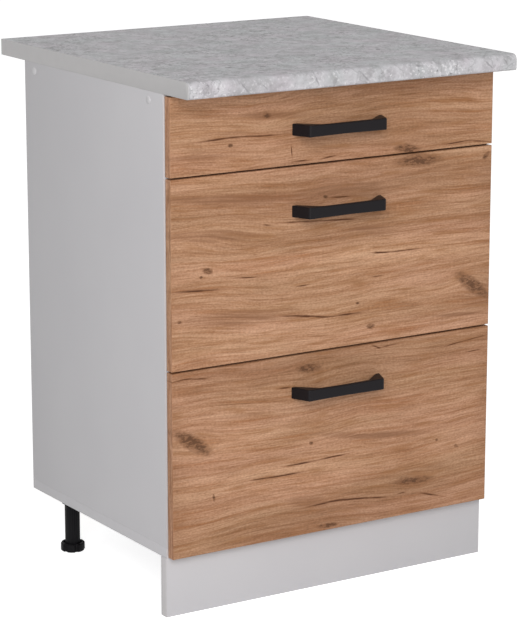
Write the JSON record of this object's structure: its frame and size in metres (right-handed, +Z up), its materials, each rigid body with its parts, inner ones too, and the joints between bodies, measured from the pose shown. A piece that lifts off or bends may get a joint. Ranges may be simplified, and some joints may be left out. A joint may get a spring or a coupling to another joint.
{
  "type": "base cabinet with drawers",
  "caption": "Kitchen base cabinet with oak-look drawer fronts on roller runners, black bracket handles, stone-look worktop, plinth board and levelling rear legs.",
  "frame": {"origin": "floor level, under the centre of the worktop, which is the bottom centre of the bounding box", "axes": "+Z up, drawer fronts face -Y and open towards -Y, +X to the right seen from the front"},
  "size_m": [0.6, 0.6, 0.842],
  "materials": {
    "stone_laminate": "postformed chipboard with a grey stone-look laminate, satin",
    "oak_laminate": "laminated chipboard with golden oak print and pores, satin",
    "grey_laminate": "laminated chipboard, pale grey-white, fine grained satin",
    "hardboard": "white painted hardboard, 3 mm",
    "black_metal": "cast zinc, matt black powder coat",
    "black_plastic": "moulded black polypropylene",
    "coated_steel": "rolled steel with white epoxy powder coat",
    "roller_nylon": "white moulded nylon"
  },
  "bodies": {
    "carcass": {"worktop": "stone_laminate", "side_left": "grey_laminate", "side_right": "grey_laminate", "bottom_panel": "grey_laminate", "front_rail": "grey_laminate", "rear_rail": "grey_laminate", "back_panel": "hardboard", "plinth": "grey_laminate", "leg_left_socket": "black_plastic", "leg_left_tube": "black_plastic", "leg_right_socket": "black_plastic", "leg_right_tube": "black_plastic", "cabinet_rail_top_left": "coated_steel", "cabinet_rail_top_right": "coated_steel", "cabinet_rail_middle_left": "coated_steel", "cabinet_rail_middle_right": "coated_steel", "cabinet_rail_bottom_left": "coated_steel", "cabinet_rail_bottom_right": "coated_steel"},
    "drawer_top": {"drawer_top_front": "oak_laminate", "drawer_top_handle": "black_metal", "drawer_top_side_left": "grey_laminate", "drawer_top_side_right": "grey_laminate", "drawer_top_inner_front": "grey_laminate", "drawer_top_back": "grey_laminate", "drawer_top_floor": "hardboard", "drawer_rail_top_left": "coated_steel", "drawer_rail_top_right": "coated_steel"},
    "drawer_middle": {"drawer_middle_front": "oak_laminate", "drawer_middle_handle": "black_metal", "drawer_middle_side_left": "grey_laminate", "drawer_middle_side_right": "grey_laminate", "drawer_middle_inner_front": "grey_laminate", "drawer_middle_back": "grey_laminate", "drawer_middle_floor": "hardboard", "drawer_rail_middle_left": "coated_steel", "drawer_rail_middle_right": "coated_steel"},
    "drawer_bottom": {"drawer_bottom_front": "oak_laminate", "drawer_bottom_handle": "black_metal", "drawer_bottom_side_left": "grey_laminate", "drawer_bottom_side_right": "grey_laminate", "drawer_bottom_inner_front": "grey_laminate", "drawer_bottom_back": "grey_laminate", "drawer_bottom_floor": "hardboard", "drawer_rail_bottom_left": "coated_steel", "drawer_rail_bottom_right": "coated_steel"},
    "foot_left": {"leg_left_foot": "black_plastic"},
    "foot_right": {"leg_right_foot": "black_plastic"},
    "front_roller_top_left": {"front_roller_top_left": "roller_nylon"},
    "front_roller_top_right": {"front_roller_top_right": "roller_nylon"},
    "front_roller_middle_left": {"front_roller_middle_left": "roller_nylon"},
    "front_roller_middle_right": {"front_roller_middle_right": "roller_nylon"},
    "front_roller_bottom_left": {"front_roller_bottom_left": "roller_nylon"},
    "front_roller_bottom_right": {"front_roller_bottom_right": "roller_nylon"},
    "rear_roller_top_left": {"rear_roller_top_left": "roller_nylon"},
    "rear_roller_top_right": {"rear_roller_top_right": "roller_nylon"},
    "rear_roller_middle_left": {"rear_roller_middle_left": "roller_nylon"},
    "rear_roller_middle_right": {"rear_roller_middle_right": "roller_nylon"},
    "rear_roller_bottom_left": {"rear_roller_bottom_left": "roller_nylon"},
    "rear_roller_bottom_right": {"rear_roller_bottom_right": "roller_nylon"}
  },
  "joints": [
    {"name": "drawer_top_slide", "type": "slide", "parent": "carcass", "child": "drawer_top", "axis": [0, -1, 0], "range_m": [0, 0.3]},
    {"name": "drawer_middle_slide", "type": "slide", "parent": "carcass", "child": "drawer_middle", "axis": [0, -1, 0], "range_m": [0, 0.3]},
    {"name": "drawer_bottom_slide", "type": "slide", "parent": "carcass", "child": "drawer_bottom", "axis": [0, -1, 0], "range_m": [0, 0.3]},
    {"name": "foot_left_screw", "type": "slide", "parent": "carcass", "child": "foot_left", "axis": [0, 0, -1], "range_m": [0, 0.02]},
    {"name": "foot_right_screw", "type": "slide", "parent": "carcass", "child": "foot_right", "axis": [0, 0, -1], "range_m": [0, 0.02]},
    {"name": "front_roller_top_left_spin", "type": "hinge", "parent": "carcass", "child": "front_roller_top_left", "pos_m": [-0.27875, -0.211, 0.7157], "axis": [1, 0, 0], "range_deg": [0, 1910]},
    {"name": "front_roller_top_right_spin", "type": "hinge", "parent": "carcass", "child": "front_roller_top_right", "pos_m": [0.27875, -0.211, 0.7157], "axis": [1, 0, 0], "range_deg": [0, 1910]},
    {"name": "front_roller_middle_left_spin", "type": "hinge", "parent": "carcass", "child": "front_roller_middle_left", "pos_m": [-0.27875, -0.211, 0.4407], "axis": [1, 0, 0], "range_deg": [0, 1910]},
    {"name": "front_roller_middle_right_spin", "type": "hinge", "parent": "carcass", "child": "front_roller_middle_right", "pos_m": [0.27875, -0.211, 0.4407], "axis": [1, 0, 0], "range_deg": [0, 1910]},
    {"name": "front_roller_bottom_left_spin", "type": "hinge", "parent": "carcass", "child": "front_roller_bottom_left", "pos_m": [-0.27875, -0.211, 0.1437], "axis": [1, 0, 0], "range_deg": [0, 1910]},
    {"name": "front_roller_bottom_right_spin", "type": "hinge", "parent": "carcass", "child": "front_roller_bottom_right", "pos_m": [0.27875, -0.211, 0.1437], "axis": [1, 0, 0], "range_deg": [0, 1910]},
    {"name": "rear_roller_top_left_spin", "type": "hinge", "parent": "drawer_top", "child": "rear_roller_top_left", "pos_m": [-0.27875, 0.161, 0.7133], "axis": [1, 0, 0], "range_deg": [0, 1910]},
    {"name": "rear_roller_top_right_spin", "type": "hinge", "parent": "drawer_top", "child": "rear_roller_top_right", "pos_m": [0.27875, 0.161, 0.7133], "axis": [1, 0, 0], "range_deg": [0, 1910]},
    {"name": "rear_roller_middle_left_spin", "type": "hinge", "parent": "drawer_middle", "child": "rear_roller_middle_left", "pos_m": [-0.27875, 0.161, 0.4383], "axis": [1, 0, 0], "range_deg": [0, 1910]},
    {"name": "rear_roller_middle_right_spin", "type": "hinge", "parent": "drawer_middle", "child": "rear_roller_middle_right", "pos_m": [0.27875, 0.161, 0.4383], "axis": [1, 0, 0], "range_deg": [0, 1910]},
    {"name": "rear_roller_bottom_left_spin", "type": "hinge", "parent": "drawer_bottom", "child": "rear_roller_bottom_left", "pos_m": [-0.27875, 0.161, 0.1413], "axis": [1, 0, 0], "range_deg": [0, 1910]},
    {"name": "rear_roller_bottom_right_spin", "type": "hinge", "parent": "drawer_bottom", "child": "rear_roller_bottom_right", "pos_m": [0.27875, 0.161, 0.1413], "axis": [1, 0, 0], "range_deg": [0, 1910]}
  ],
  "couplings": [
    {"joint": "front_roller_top_left_spin", "follows": "drawer_top_slide", "rad_per_m": 111.11},
    {"joint": "front_roller_top_right_spin", "follows": "drawer_top_slide", "rad_per_m": 111.11},
    {"joint": "rear_roller_top_left_spin", "follows": "drawer_top_slide", "rad_per_m": 111.11},
    {"joint": "rear_roller_top_right_spin", "follows": "drawer_top_slide", "rad_per_m": 111.11},
    {"joint": "front_roller_middle_left_spin", "follows": "drawer_middle_slide", "rad_per_m": 111.11},
    {"joint": "front_roller_middle_right_spin", "follows": "drawer_middle_slide", "rad_per_m": 111.11},
    {"joint": "rear_roller_middle_left_spin", "follows": "drawer_middle_slide", "rad_per_m": 111.11},
    {"joint": "rear_roller_middle_right_spin", "follows": "drawer_middle_slide", "rad_per_m": 111.11},
    {"joint": "front_roller_bottom_left_spin", "follows": "drawer_bottom_slide", "rad_per_m": 111.11},
    {"joint": "front_roller_bottom_right_spin", "follows": "drawer_bottom_slide", "rad_per_m": 111.11},
    {"joint": "rear_roller_bottom_left_spin", "follows": "drawer_bottom_slide", "rad_per_m": 111.11},
    {"joint": "rear_roller_bottom_right_spin", "follows": "drawer_bottom_slide", "rad_per_m": 111.11}
  ]
}
